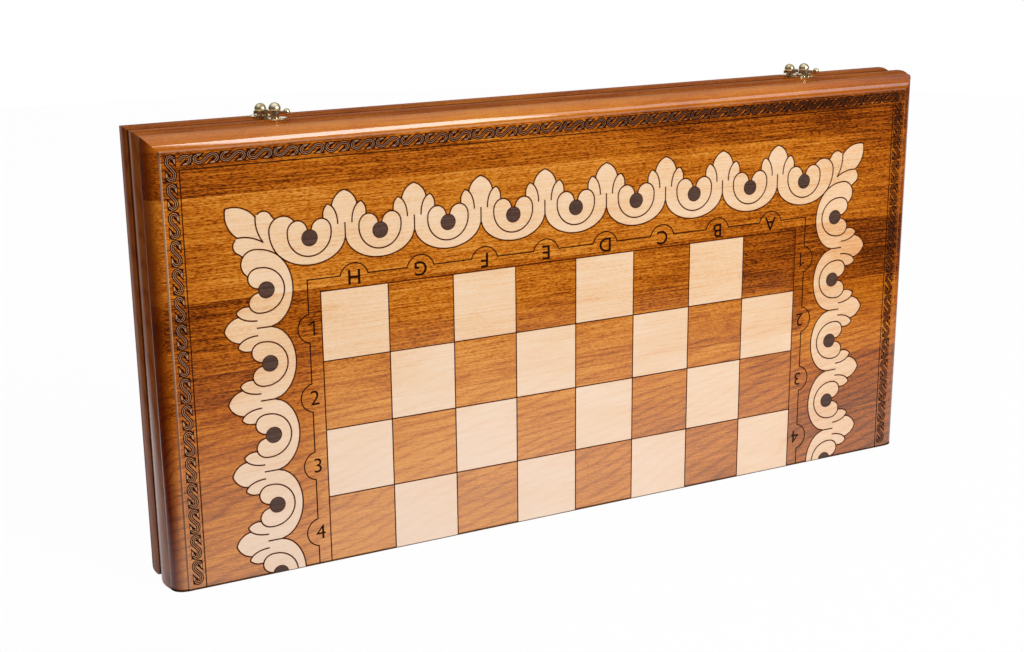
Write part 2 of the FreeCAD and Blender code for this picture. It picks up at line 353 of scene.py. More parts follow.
def scallop_border():
    """Inlay, lines, dots and rims of the border's three sides on one half: a scallop at each dot along the top
    and up both columns, and a leaf on the diagonal of each corner."""
    slabs, lines, dots = [], [], []
    last = scallops_from_middle
    for k in range(-last, last + 1):
        dots.append(np.array([k * scallop_pitch, scallop_reach]))
        for way in (-1, 1):
            at_corner = k * way == last
            slabs.append(scallop_slab(from_dot(k, way), at_corner))
            lines += [from_dot(k, way)(line) for line in scallop_lines(at_corner)]
    for side in (0, 1):
        for k in range(0, last + 1):
            dots.append(sides(np.array([[k * scallop_pitch, scallop_reach]]))[side][0])
            for way in (-1, 1) if k else (1,):
                at_corner = k * way == last

                def place(plan, k=k, way=way):
                    return sides(from_dot(k, way)(plan))[side]
                slabs.append(scallop_slab(place, at_corner))
                lines += [place(line) for line in scallop_lines(at_corner)]
    crescent = end_edge(np.linspace(crescent_start, corner_meeting, 14)) * mm
    crescent += np.array([last * scallop_pitch, scallop_reach])
    crescent = np.stack([crescent.sum(1), crescent[:, 1] - crescent[:, 0]], 1) / math.sqrt(2) / mm
    crescent[:, 1] = np.maximum(crescent[:, 1], 0)
    outline = np.concatenate([corner_ogive(), corner_side(), crescent])
    outline[:, 0] = np.minimum.accumulate(outline[:, 0])
    spine = outline * np.array([1.0, 0.0])
    vein = bow((corner_root, 0), corner_vein_pull, corner_joint)
    for way in (-1, 1):
        for mirror in (np.array([1.0, 1.0]), np.array([-1.0, 1.0])):
            slabs.append(slab(diagonal(outline, way) * mm * mirror, diagonal(spine, way) * mm * mirror,
                              inlay_rise / 2, inlay_depth))
            for line in (corner_ogive(), corner_side(), vein):
                lines.append(diagonal(line, way) * mm * mirror)
    inlay = gather(slabs)
    burnt = gather([ribbon(line, burnt_line, line_rise, line_depth, burnt_line / 3) for line in lines])
    spots = gather([disc(dot, dot_radius * mm, dot_rise, line_depth) for dot in dots])
    rim = (dot_radius * mm, dot_radius * mm)
    rims = gather([ribbon(arc(dot, rim, 0, 360, 40), burnt_line / 2, line_rise, line_depth) for dot in dots])
    return inlay, burnt, spots, rims


def file_centres():
    """X of the middles of the files."""
    return (np.arange(squares_across) + 0.5) * square - field_half


def rank_centres():
    """Z of the middles of the ranks of one half, from the fold up."""
    return (np.arange(squares_up) + 0.5) * square


def frame_line():
    """Line round the field: straight runs with a circle's bow outwards at each file and rank."""
    half_chord = math.sqrt(bow_radius ** 2 - (bow_radius - bow_height) ** 2)
    lean = math.degrees(math.acos(half_chord / bow_radius))

    def side_of(centres, start, end):
        bow_ends = np.stack([centres - half_chord, centres + half_chord], 1).ravel()
        stops = np.concatenate([[start], bow_ends, [end]])
        runs = [np.array([[a, frame_reach], [b, frame_reach]]) for a, b in stops.reshape(-1, 2)]
        middle = frame_reach + bow_height - bow_radius
        bows = [arc((c, middle), (bow_radius, bow_radius), lean, 180 - lean, 24) for c in centres]
        return runs + bows

    lines = side_of(file_centres(), -frame_reach, frame_reach)
    for line in side_of(rank_centres(), 0, frame_reach):
        lines += sides(line)
    return gather([ribbon(line, field_line, line_rise, line_depth, field_line / 3) for line in lines])


def square_lines():
    """Lines between the squares and round the field."""
    lines = []
    for column in range(squares_across + 1):
        x = column * square - field_half
        lines.append(np.array([[x, 0], [x, field_top]]))
    for row in range(1, squares_up + 1):
        lines.append(np.array([[-field_half, row * square], [field_half, row * square]]))
    return gather([ribbon(line, field_line, line_rise, line_depth, field_line / 2) for line in lines])


def numeral_one():
    """The numeral 1 in letter heights: an upright bar with a slanting flag at its top left."""
    bar = [(0.20, 0.0), (0.32, 0.0), (0.32, 1.0), (0.20, 1.0)]
    flag = [(-0.10, 0.76), (-0.10, 0.64), (0.20, 0.85)]
    return np.array(bar + flag), np.array([(0, 1, 2), (0, 2, 3), (3, 4, 5), (3, 5, 6)])


def type_outline(word):
    """A letter or numeral of the built-in type as flat corners and triangles, a letter's strokes grown."""
    curve = bpy.data.curves.new("letter", "FONT")
    curve.body = word
    curve.offset = letter_swell if word.isalpha() else 0.0
    holder = bpy.data.objects.new("letter", curve)
    bpy.context.scene.collection.objects.link(holder)
    bpy.context.view_layer.update()
    flat = bpy.data.meshes.new_from_object(holder.evaluated_get(bpy.context.evaluated_depsgraph_get()))
    bpy.data.objects.remove(holder)
    corners = np.zeros(len(flat.vertices) * 3)
    flat.vertices.foreach_get("co", corners)
    triangles = np.zeros(len(flat.loop_triangles) * 3, int)
    flat.loop_triangles.foreach_get("vertices", triangles)
    bpy.data.meshes.remove(flat)
    return corners.reshape(-1, 3)[:, :2], triangles.reshape(-1, 3)


def letter_mesh(word, place, upside_down):
    """A letter or numeral brought to the letter height, turned and set flat on the front face."""
    corners, triangles = numeral_one() if word == "1" else type_outline(word)
    low, high = corners.min(0), corners.max(0)
    plan = (corners - (low + high) / 2) * letter_height / (high[1] - low[1])
    plan = plan * (-1 if upside_down else 1) + np.array(place)
    return on_face(plan, line_rise), triangles


def letters(files, ranks):
    """Letters over the files, upside down, and numerals beside the ranks, upright left and turned right."""
    signs = [(word, (x, letter_reach), True) for word, x in zip(files, file_centres())]
    for word, z in zip(ranks, rank_centres()[::-1]):
        signs.append((word, (-letter_reach, z), False))
        signs.append((word, (letter_reach, z), True))
    return gather([letter_mesh(*sign) for sign in signs])


# Carved border

def scroll_path():
    """Middle line of half an S scroll in millimetres: straight from the origin along a slant that runs as a
    tangent into the ellipse of the hook."""
    squash = scroll_hook[1] / scroll_hook[0]
    slant = math.asin(scroll_hook[1] / (scroll_hook_middle * squash))
    hook = arc((scroll_hook_middle, 0), scroll_hook, 90 + math.degrees(slant), scroll_hook_end, 24)
    return np.concatenate([[[0.0, 0.0]], hook])


def beside(path, gap):
    """A path shifted sideways by gap, square to itself."""
    step = np.gradient(path, axis=0)
    step /= np.linalg.norm(step, axis=1, keepdims=True)
    return path + gap * np.stack([-step[:, 1], step[:, 0]], 1)


def scroll_places():
    """For each scroll of one half board, a function that sets its drawing on the top row or a side column,
    and the halves of the scroll that are cut."""
    def on_row(middle):
        return lambda plan: plan * mm + np.array([middle, row_reach])

    def on_column(middle, side):
        return lambda plan: plan[:, ::-1] * np.array([-mm, mm]) + np.array([side * scroll_reach, middle])

    across = row_first + np.arange(row_scrolls) * row_pitch
    up = column_first + np.arange(column_scrolls) * column_pitch
    places = [(on_row(middle), (1, -1) if number else (1,)) for number, middle in enumerate(across)]
    places += [(on_column(middle, -1), (1, -1)) for middle in up]
    places += [(on_column(middle, 1), (1, -1)) for middle in up[:-1]]
    return places + [(on_column(up[-1], 1), (-1,))]


def scroll_hollows():
    """Hollows of half a scroll in millimetres, each between two curves, and their rise: one under the hook
    with three points, in the heart of the hook and at both its feet, and one in the corner behind the hook."""
    heart = np.concatenate([bow((0.3, -3.5), (3.0, -1.5), (5.0, 0.7), 8),
                            bow((5.0, 0.7), (5.6, -1.9), (8.7, -3.5), 8)])
    foot = np.linspace((0.3, -3.6), (8.7, -3.6), 16)
    corner = arc((scroll_hook_middle, 0), (4.3, 3.6), -62, -6, 8)
    corner_back = bow((6.2, -3.6), (8.7, -3.6), (8.7, -0.4), 8)
    return (heart, foot, inlay_rise), (corner, corner_back, inlay_rise / 2)


def scroll_border():
    """Cuts and ridges of the carved border on one half: three lines and the hollows are cut, a ridge follows
    each scroll, and a small ridge stands in the hollow under its hook."""
    middle = scroll_path()
    leaf = bow((2.3, -3.0), (4.9, -0.8), (7.0, -3.0), 6)
    leaf_foot = np.linspace((2.3, -3.1), (7.0, -3.1), 6)
    lines, ridges, hollows = [], [], []
    for place, halves in scroll_places():
        for turn in halves:
            for gap in (-scroll_line_gap, 0, scroll_line_gap):
                lines.append(ribbon(place(turn * beside(middle, gap)), scroll_line, line_rise, line_depth))
            ridges.append(ribbon(place(turn * middle), 2 * scroll_line_gap * mm, dot_rise, line_depth))
            ridges.append(slab(place(turn * leaf), place(turn * leaf_foot), dot_rise, line_depth))
            for upper, lower, rise in scroll_hollows():
                hollows.append(slab(place(turn * upper), place(turn * lower), rise, line_depth))
    return gather(lines + hollows), gather(ridges)


# Small brass work

nail_radius = 0.75 * mm
nail_height = 0.4 * mm
nail_shank = 0.3 * mm
nail_offset = np.array([4.9, 3.0]) * mm
plate_top = 300.42 * mm
slot_length = 4.2 * mm
slot_width = 0.7 * mm
slot_depth = 0.3 * mm
slot_rise = 0.01 * mm
slot_places = ((-202.0, 25), (-158.0, -40), (158.0, 70), (202.0, 10))
screw_height = 9.5 * mm


def nail_head(x, y):
    """Low dome: circles that shrink by the cosine as they rise by the sine, on a short shank in the plate."""
    turn = np.linspace(0, 2 * np.pi, 24, endpoint=False)[None, :]
    rise = np.radians([0, 0, 20, 40, 60, 80])[:, None]
    height = np.sin(rise) * nail_height + plate_top
    height[0] -= nail_shank
    radius = nail_radius * np.cos(rise)
    return loft(np.stack([x + radius * np.cos(turn), y + radius * np.sin(turn), height + 0 * turn], -1))


def latch_nails(plate):
    """Two nails at opposite corners of a latch plate."""
    low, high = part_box(plate)
    middle = np.array([low.x + high.x, low.y + high.y]) / 2
    return gather([nail_head(*(middle + way * nail_offset)) for way in (1, -1)])


def screw_slots():
    """Slots of the front half's hinge screws: thin dark bars on the heads, each turned its own way, that paint
    the shade in the slots.
    """
    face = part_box("front_hinge_screws")[1].y
    corners = np.array([(1, 1), (-1, 1), (-1, -1), (1, -1)]) * np.array([slot_length, slot_width]) / 2
    slots = []
    for x, angle in slot_places:
        cosine, sine = math.cos(math.radians(angle)), math.sin(math.radians(angle))
        plan = corners @ np.array([[cosine, sine], [-sine, cosine]]) + np.array([x * mm, screw_height])
        ring = [np.stack([plan[:, 0], np.full(4, face + rise), plan[:, 1]], 1)
                for rise in (-slot_depth, slot_rise)]
        slots.append(loft(np.stack(ring)))
    return gather(slots)


# Shader tools

def tint(red, green, blue):
    """Screen colour of 0 to 255 as the linear colour that a shader takes."""
    share = np.array([red, green, blue]) / 255
    linear = np.where(share <= 0.04045, share / 12.92, ((share + 0.055) / 1.055) ** 2.4)
    return (*linear, 1.0)


def node(tree, kind, inputs=None, **settings):
    """A shader node with its settings; inputs maps a socket to a value or to another node's output."""
    made = tree.nodes.new("ShaderNode" + kind)
    for key, value in settings.items():
        setattr(made, key, value)
    for key, value in (inputs or {}).items():
        if isinstance(value, bpy.types.NodeSocket):
            tree.links.new(value, made.inputs[key])
        else:
            made.inputs[key].default_value = value
    return made


def maths(tree, operation, *values):
    """Output of a maths node on numbers or other nodes' outputs."""
    return node(tree, "Math", dict(enumerate(values)), operation=operation).outputs[0]


def product(tree, first, *others):
    """All the values multiplied."""
    for other in others:
        first = maths(tree, "MULTIPLY", first, other)
    return first


def summed(tree, first, *others):
    """All the values added."""
    for other in others:
        first = maths(tree, "ADD", first, other)
    return first


def ramp(tree, factor, stops, interpolation="LINEAR"):
    """Colour ramp over (position, colour) stops."""
    made = node(tree, "ValToRGB", {0: factor})
    made.color_ramp.interpolation = interpolation
    elements = made.color_ramp.elements
    while len(elements) < len(stops):
        elements.new(1.0)
    for element, (position, colour) in zip(elements, stops):
        element.position = position
        element.color = colour
    return made.outputs[0]


def blend(tree, kind, share, a, b):
    """Mixed colour of a and b."""
    return node(tree, "Mix", {0: share, 6: a, 7: b}, data_type="RGBA", blend_type=kind).outputs[2]


def span(tree, value, low, high, to_low=0.0, to_high=1.0):
    """A value from low to high carried over to the range from to_low to to_high, and held at its ends."""
    return node(tree, "MapRange", {0: value, 1: low, 2: high, 3: to_low, 4: to_high}).outputs[0]


def new_group(name, inputs, outputs):
    """Empty node group with named sockets, given as (name, kind, default)."""
    group = bpy.data.node_groups.new(name, "ShaderNodeTree")
    for label, kind, value in inputs:
        socket = group.interface.new_socket(label, in_out="INPUT", socket_type="NodeSocket" + kind)
        if value is not None:
            socket.default_value = value
    for label, kind in outputs:
        group.interface.new_socket(label, in_out="OUTPUT", socket_type="NodeSocket" + kind)
    return group, group.nodes.new("NodeGroupInput").outputs, group.nodes.new("NodeGroupOutput").inputs


def use_group(tree, group, inputs):
    """Outputs of a node group set in a tree."""
    return node(tree, "Group", inputs, node_tree=group).outputs


def stretched_noise(tree, point, stretch, detail, roughness=0.55):
    """Noise drawn out along the grain: the point is scaled by stretch, in cells to the metre."""
    scaled = node(tree, "VectorMath", {0: point, 1: stretch}, operation="MULTIPLY").outputs[0]
    made = node(tree, "TexNoise", {"Vector": scaled, "Scale": 1.0, "Detail": detail, "Roughness": roughness})
    return made.outputs[0]


# Finishes

ring_width = 7.8 * mm


def beech_figure():
    """Figure of glued beech planks with the grain along X: year rings as bands that slope differently in each
    plank, fibre streaks, short ray flecks, clouds and each plank's own tone."""
    group, given, out = new_group(
        "beech_figure",
        [("Point", "Vector", None), ("Shift", "Float", 0.0)],
        [("Rings", "Float"), ("Fibre", "Float"), ("Streaks", "Float"), ("Flecks", "Float"), ("Tone", "Float"),
         ("Cloud", "Float")])
    place = node(group, "SeparateXYZ", {0: given["Point"]}).outputs
    sway = stretched_noise(group, given["Point"], (5.0, 0.0, 0.0), 1.0)
    level = maths(group, "MULTIPLY_ADD", sway, 4 * mm, place[2])
    # Each plank's stop holds its tone, its seed and the slope of its rings
    planks = ramp(group, span(group, level, 2 * mm, 302 * mm), [
        (0.00, (0.64, 0.35, 0.86, 1)), (0.25, (0.66, 0.80, 0.74, 1)), (0.36, (0.52, 0.55, 0.66, 1)),
        (0.475, (0.34, 0.10, 0.56, 1)), (0.64, (0.62, 0.65, 0.47, 1)), (0.86, (0.30, 0.20, 0.52, 1)),
    ], "CONSTANT")
    plank = node(group, "SeparateColor", {0: planks}).outputs
    rear = maths(group, "GREATER_THAN", place[1], 0.0)
    seed = maths(group, "ADD", maths(group, "MULTIPLY_ADD", rear, 3.7, given["Shift"]), plank[1])
    moved = node(group, "CombineXYZ", {0: maths(group, "MULTIPLY", seed, 1.7), 1: seed,
                                       2: maths(group, "MULTIPLY", seed, 0.9)}).outputs[0]
    point = node(group, "VectorMath", {0: given["Point"], 1: moved}, operation="ADD").outputs[0]
    wander = stretched_noise(group, point, (5.0, 22.0, 22.0), 2.0)
    slope = span(group, plank[2], 0.0, 1.0, -0.42, 0.42)
    band = maths(group, "SUBTRACT", place[2], maths(group, "MULTIPLY", place[0], slope))
    band = maths(group, "ADD", band, maths(group, "MULTIPLY_ADD", place[1], 0.6, seed))
    band = maths(group, "MULTIPLY_ADD", wander, 45 * mm, band)
    wave = maths(group, "SINE", maths(group, "MULTIPLY", band, 2 * math.pi / ring_width))
    rings = maths(group, "POWER", span(group, wave, -1.0, 1.0), 4.0)
    rings = product(group, rings, span(group, place[2], 170 * mm, 90 * mm, 0.15, 1.0))
    group.links.new(rings, out["Rings"])
    fine = span(group, place[2], 90 * mm, 170 * mm, 0.7, 1.0)
    fibre = maths(group, "SUBTRACT", stretched_noise(group, point, (18.0, 1100.0, 1100.0), 3.0, 0.6), 0.5)
    group.links.new(maths(group, "MULTIPLY_ADD", fibre, fine, 0.5), out["Fibre"])
    streaks = stretched_noise(group, point, (60.0, 1150.0, 1150.0), 2.0, 0.6)
    group.links.new(product(group, span(group, streaks, 0.45, 0.70), fine), out["Streaks"])
    flecks = stretched_noise(group, point, (360.0, 1500.0, 1500.0), 1.0)
    few = span(group, place[2], 90 * mm, 170 * mm, 0.5, 1.0)
    group.links.new(product(group, span(group, flecks, 0.42, 0.72), few), out["Flecks"])
    group.links.new(plank[0], out["Tone"])
    group.links.new(stretched_noise(group, point, (13.0, 34.0, 34.0), 3.0), out["Cloud"])
    return group


# Colours and gloss of the finishes
# Painted reflection of the white floor on the stained boards
floor_reflection_on_stain = tint(232, 190, 150)
# Painted highlight along the arris under the roll and the roll's back edge
arris_highlight_tint = tint(226, 186, 148)
end_grain_shade = tint(140, 84, 84)
# Scorch of the scored line, used also as painted shadow along the fold
scorch_and_fold_shadow = tint(46, 24, 13)
# Painted shade of the walls, strongest on the upright ones
wall_painted_shade = tint(156, 102, 84)
# Painted shadow in the seam between the halves
seam_painted_shadow = tint(44, 22, 12)
# Painted reflection of the white floor on the bare beech
floor_reflection_on_beech = tint(234, 216, 204)
# Painted highlight on the carved ridges
ridge_highlight_tint = tint(200, 156, 124)
wood_roughness = 0.5
lacquer_ior = 1.5
lacquer_roughness = 0.08
wall_lacquer_roughness = 0.2
wall_gloss = 0.4
wall_foot_gloss = 2.2
scorch_and_fold_shadow_share = 0.88
seam_share = 0.85


def lacquer(name):
    """Material with a principled shader under a satin lacquer, and its tree, shader and coordinates."""
    material = bpy.data.materials.new(name)
    material.use_nodes = True
    tree = material.node_tree
    shader = tree.nodes["Principled BSDF"]
    shader.inputs["IOR"].default_value = lacquer_ior
    shader.inputs["Roughness"].default_value = wood_roughness
    shader.inputs["Specular IOR Level"].default_value = 0.0
    shader.inputs["Coat Weight"].default_value = 1.0
    shader.inputs["Coat Roughness"].default_value = lacquer_roughness
    shader.inputs["Coat IOR"].default_value = lacquer_ior
    spot = node(tree, "TexCoord").outputs
    return material, tree, shader, spot


figure_group = beech_figure()


def figure(tree, point, shift=0.0):
    """Marks of the beech figure at a point; the shift picks another piece of wood."""
    return use_group(tree, figure_group, {"Point": point, "Shift": shift})


def weighted(tree, marks, weights, start=0.0):
    """Sum of the figure's marks, each times its weight."""
    total = start
    for label, weight in weights.items():
        total = maths(tree, "MULTIPLY_ADD", marks[label], weight, total)
    return total


def surface_bump(tree, shader, height, strength, distance):
    """Lets a mark stand out of the surface by a small distance."""
    made = node(tree, "Bump", {"Height": height, "Strength": strength, "Distance": distance})
    tree.links.new(made.outputs[0], shader.inputs["Normal"])


def calmed(tree, marks, calm):
    """The figure with its fine marks drawn in to the share calm, as on rounded edges and end grain."""
    soft = {name: marks[name] for name in ("Rings", "Tone", "Cloud")}
    soft["Fibre"] = maths(tree, "MULTIPLY_ADD", maths(tree, "SUBTRACT", marks["Fibre"], 0.5), calm, 0.5)
    for name in ("Streaks", "Flecks"):
        soft[name] = maths(tree, "MULTIPLY", marks[name], calm)
    return soft


stain_weights = {"Fibre": 0.85, "Tone": 0.52, "Cloud": 0.40, "Streaks": -0.12, "Rings": -0.14, "Flecks": -0.30}
stain_depth = 0.28
stain_stops = [(0.10, tint(74, 29, 4)), (0.28, tint(132, 61, 8)), (0.44, tint(176, 91, 14)),
               (0.60, tint(204, 123, 30)), (0.82, tint(224, 156, 70))]


def stained_colour(tree, marks, start=0.0):
    """Stained beech: dark red brown to orange brown, with dark streaks, rings and flecks."""
    total = weighted(tree, marks, stain_weights, maths(tree, "SUBTRACT", start, stain_depth))
    return ramp(tree, total, stain_stops)


def paled_by_floor_reflection(tree, x, height, colour, share, pale):
    """A colour that turns paler by share towards the fold, most on the left: a painted reflection of the white
    floor."""
    low = span(tree, height, 165 * mm, 30 * mm, 0.0, share)
    low = product(tree, low, span(tree, x, -50 * mm, 250 * mm, 1.0, 0.45))
    return blend(tree, "MIX", low, colour, pale)


def board_tone(tree, x, z, aside, reach):
    """How much lighter or darker a place on a board is than its plank: darker to the ends and the right,
    lighter in the chess field, with a plank beside the field and a square in its corner that differ."""
    ends = span(tree, aside, 190 * mm, 290 * mm, 0.0, -0.07)
    # Darker to the right: painted shade that evens out the softboxes, which stand to the right
    right = span(tree, x, -20 * mm, 280 * mm, 0.0, -0.11)
    field = product(tree, span(tree, reach, 190 * mm, 186 * mm, 0.0, 0.09), span(tree, z, 80 * mm, 140 * mm))
    right_foot = product(tree, span(tree, x, -150 * mm, 250 * mm, 0.0, -0.12),
                         span(tree, z, 110 * mm, 40 * mm))
    left_foot = product(tree, span(tree, x, -190 * mm, -210 * mm, 0.0, -0.08), span(tree, z, 110 * mm, 60 * mm))
    plank = product(tree, span(tree, z, 84 * mm, 86 * mm), span(tree, z, 145.5 * mm, 143.5 * mm),
                    span(tree, aside, 195 * mm, 205 * mm), span(tree, x, -250 * mm, 250 * mm, -0.08, 0.10))
    corner = product(tree, span(tree, x, 140 * mm, 142.5 * mm), span(tree, z, 145 * mm, 146.5 * mm),
                     span(tree, reach, 190.5 * mm, 188.5 * mm, 0.0, -0.14))
    return summed(tree, ends, right, field, right_foot, left_foot, plank, corner)


def stained_board():
    """The boards: stained beech, darker towards its ends and on end grain, and scorched in the scored line. A
    painted shadow darkens them along the fold, and a painted highlight runs along the arris under the roll and
    the roll's back edge."""
    material, tree, shader, spot = lacquer("stained_board")
    x, y, z = node(tree, "SeparateXYZ", {0: spot["Object"]}).outputs
    aside = maths(tree, "ABSOLUTE", x)
    reach = maths(tree, "MAXIMUM", aside, z)
    facing = node(tree, "SeparateXYZ", {0: spot["Normal"]}).outputs[0]
    turned = span(tree, maths(tree, "ABSOLUTE", facing), 0.1, 0.8)
    rolled = span(tree, z, 287.8 * mm, 289.2 * mm)
    calm = maths(tree, "MULTIPLY_ADD", maths(tree, "MAXIMUM", turned, rolled), -0.75, 1.0)
    marks = calmed(tree, figure(tree, spot["Object"]), calm)
    tone = board_tone(tree, x, z, aside, reach)
    # The roll along the top and the surfaces above it are made lighter: painted light on the top
    colour = stained_colour(tree, marks, maths(tree, "MULTIPLY_ADD", rolled, 0.09, tone))
    raised = span(tree, aside, 185 * mm, 200 * mm, 0.0, 50 * mm)
    # Paler towards the fold: painted reflection of the white floor
    colour = paled_by_floor_reflection(tree, x, maths(tree, "ADD", z, raised), colour, 0.28, floor_reflection_on_stain)
    end_grain = product(tree, turned, span(tree, z, 220 * mm, 50 * mm, 0.8, 1.0))
    colour = blend(tree, "MULTIPLY", end_grain, colour, end_grain_shade)
    sunk = maths(tree, "SUBTRACT", -face_y, maths(tree, "ABSOLUTE", y))
    # Painted highlight: a pale band along the arris under the roll and along the roll's back edge, strongest on
    # the left
    arris = product(tree, span(tree, reach, 287.7 * mm, 288.1 * mm), span(tree, reach, 289.3 * mm, 289 * mm))
    back = product(tree, span(tree, sunk, 7.8 * mm, 8.6 * mm), span(tree, z, 294 * mm, 296 * mm))
    painted_highlight = product(tree, maths(tree, "MAXIMUM", arris, back), span(tree, z, 280 * mm, 286 * mm, 1.0, 0.3),
                   span(tree, x, -100 * mm, 250 * mm, 0.55, 0.2), span(tree, z, 50 * mm, 200 * mm, 0.4, 1.0))
    colour = blend(tree, "MIX", painted_highlight, colour, arris_highlight_tint)
    scored = product(tree, span(tree, sunk, 0.05 * mm, 0.3 * mm), maths(tree, "LESS_THAN", sunk, 1.6 * mm),
                     maths(tree, "LESS_THAN", reach, 278.5 * mm))
    # The band along the fold is painted shadow where the box stands on the floor; the scored line is scorched
    burnt = maths(tree, "MAXIMUM", scored, span(tree, z, 2.1 * mm, 1.4 * mm))
    colour = blend(tree, "MIX", product(tree, burnt, scorch_and_fold_shadow_share), colour, scorch_and_fold_shadow)
    tree.links.new(maths(tree, "SUBTRACT", 1.0, burnt), shader.inputs["Coat Weight"])
    tree.links.new(colour, shader.inputs["Base Color"])
    surface_bump(tree, shader, marks["Fibre"], 0.04, 0.4 * mm)
    return material


def stained_wall(name, upright):
    """The walls: stained beech with the grain along the wall, duller than the boards. Painted shade darkens
    them, most the upright walls, and a painted shadow darkens the seam. At a glancing view only the foot of the
    front half's upright walls shines."""
    material, tree, shader, spot = lacquer(name)
    x, y, z = node(tree, "SeparateXYZ", {0: spot["Object"]}).outputs
    point = node(tree, "CombineXYZ", {0: z, 1: y, 2: x}).outputs[0] if upright else spot["Object"]
    marks = calmed(tree, figure(tree, point, 5.3), 0.5)
    colour = stained_colour(tree, marks)
    # Painted shade: the walls are darkened, the upright walls far more than the top walls
    colour = blend(tree, "MULTIPLY", 0.8 if upright else 0.3, colour, wall_painted_shade)
    # Painted shadow in the seam between the halves
    seam = span(tree, maths(tree, "ABSOLUTE", y), 2.6 * mm, 1.3 * mm)
    colour = blend(tree, "MIX", product(tree, seam, seam_share), colour, seam_painted_shadow)
    glance = node(tree, "LayerWeight").outputs["Facing"]
    gloss = product(tree, maths(tree, "SUBTRACT", 1.0, seam), span(tree, glance, 0.92, 0.78))
    if upright:
        front = maths(tree, "LESS_THAN", y, 0.0)
        foot = product(tree, span(tree, z, 200 * mm, 100 * mm), front, wall_foot_gloss)
        gloss = maths(tree, "MAXIMUM", gloss, foot)
    tree.links.new(product(tree, gloss, wall_gloss), shader.inputs["Coat Weight"])
    shader.inputs["Coat Roughness"].default_value = wall_lacquer_roughness
    tree.links.new(colour, shader.inputs["Base Color"])
    surface_bump(tree, shader, marks["Fibre"], 0.04, 0.4 * mm)
    return material


pale_weights = {"Fibre": 0.80, "Tone": 0.30, "Cloud": 0.70, "Streaks": -0.10, "Rings": -0.12, "Flecks": -0.20}
pale_start = -0.27
pale_stops = [(0.05, tint(222, 158, 100)), (0.40, tint(235, 195, 152)), (0.80, tint(240, 213, 185))]


def natural_beech():
    """Bare beech under the lacquer, with the boards' own figure, darker outside the chess field and to the
    right."""
    material, tree, shader, spot = lacquer("natural_beech")
    marks = figure(tree, spot["Object"])
    x, y, z = node(tree, "SeparateXYZ", {0: spot["Object"]}).outputs
    aside = maths(tree, "ABSOLUTE", x)
    ends = product(tree, span(tree, aside, 190 * mm, 240 * mm, 0.0, -0.08), span(tree, z, 200 * mm, 170 * mm))
    outside = span(tree, maths(tree, "MAXIMUM", aside, z), 192 * mm, 200 * mm, 0.0, -0.07)
    # Darker to the right: painted shade that evens out the softboxes, which stand to the right
    right = span(tree, x, 0.0, 240 * mm, 0.0, -0.08)
    tone = summed(tree, ends, pale_start, outside, right)
    colour = ramp(tree, weighted(tree, marks, pale_weights, tone), pale_stops)
    # Paler towards the fold: painted reflection of the white floor
    colour = paled_by_floor_reflection(tree, x, z, colour, 0.5, floor_reflection_on_beech)
    tree.links.new(colour, shader.inputs["Base Color"])
    surface_bump(tree, shader, marks["Fibre"], 0.08, 0.5 * mm)
    return material


def burnt_wood(name, dark, pale, coat):
    """Scorched wood: dark brown, streaked along the grain."""
    material, tree, shader, spot = lacquer(name)
    shader.inputs["Coat Weight"].default_value = coat
    marks = figure(tree, spot["Object"])
    total = weighted(tree, marks, {"Fibre": 0.8, "Cloud": 0.2, "Flecks": 0.15})
    tree.links.new(ramp(tree, total, [(0.3, dark), (0.7, pale)]), shader.inputs["Base Color"])
    surface_bump(tree, shader, marks["Fibre"], 0.2, 0.5 * mm)
    return material


def carved_wood():
    """Ridges of the carved border: stained wood with a greyish painted highlight, strongest on the left, and
    darker on the right."""
    material, tree, shader, spot = lacquer("carved_ridge")
    marks = figure(tree, spot["Object"])
    x = node(tree, "SeparateXYZ", {0: spot["Object"]}).outputs[0]
    # Painted highlight: a pale grey brown mixed in, most on the left
    ridge_highlight = span(tree, x, -200 * mm, 200 * mm, 0.5, 0.05)
    stained = stained_colour(tree, marks, span(tree, x, -200 * mm, 200 * mm, -0.1, -0.22))
    tree.links.new(blend(tree, "MIX", ridge_highlight, stained, ridge_highlight_tint), shader.inputs["Base Color"])
    surface_bump(tree, shader, marks["Fibre"], 0.15, 0.5 * mm)
    return material


def aged_brass():
    """Pale brass, bright from wear, with darker tarnish in cloudy patches."""
    material = bpy.data.materials.new("aged_brass")
    material.use_nodes = True
    tree = material.node_tree
    shader = tree.nodes["Principled BSDF"]
    shader.inputs["Metallic"].default_value = 1.0
    spot = node(tree, "TexCoord").outputs
    cloud = node(tree, "TexNoise", {"Vector": spot["Object"], "Scale": 260.0, "Detail": 4.0}).outputs[0]
    colour = ramp(tree, cloud, [
        (0.30, tint(156, 130, 82)), (0.48, tint(234, 217, 176)), (0.75, tint(250, 240, 212))])
    tree.links.new(colour, shader.inputs["Base Color"])
    tree.links.new(span(tree, cloud, 0.3, 0.7, 0.36, 0.18), shader.inputs["Roughness"])
    surface_bump(tree, shader, cloud, 0.15, 0.3 * mm)
    return material


# Pieces

board_finish = stained_board()
wall_finish = stained_wall("stained_wall", False)
upright_finish = stained_wall("stained_upright", True)
pale_finish = natural_beech()
line_finish = burnt_wood("burnt_line", tint(62, 20, 4), tint(92, 38, 10), 0.05)
field_finish = burnt_wood("burnt_field", tint(26, 12, 5), tint(48, 24, 11), 0.05)
cut_finish = burnt_wood("carved_cut", tint(18, 8, 4), tint(40, 19, 10), 0.1)
dot_finish = burnt_wood("burnt_dot", tint(56, 38, 32), tint(96, 72, 62), 0.4)
dark_finish = burnt_wood("dark_stain", tint(58, 26, 13), tint(112, 58, 28), 0.75)
# Dark bars on the screw heads: painted shade in the slots
slot_shade_finish = burnt_wood("screw_slot", tint(40, 32, 20), tint(66, 54, 34), 0.2)
ridge_finish = carved_wood()
brass_finish = aged_brass()

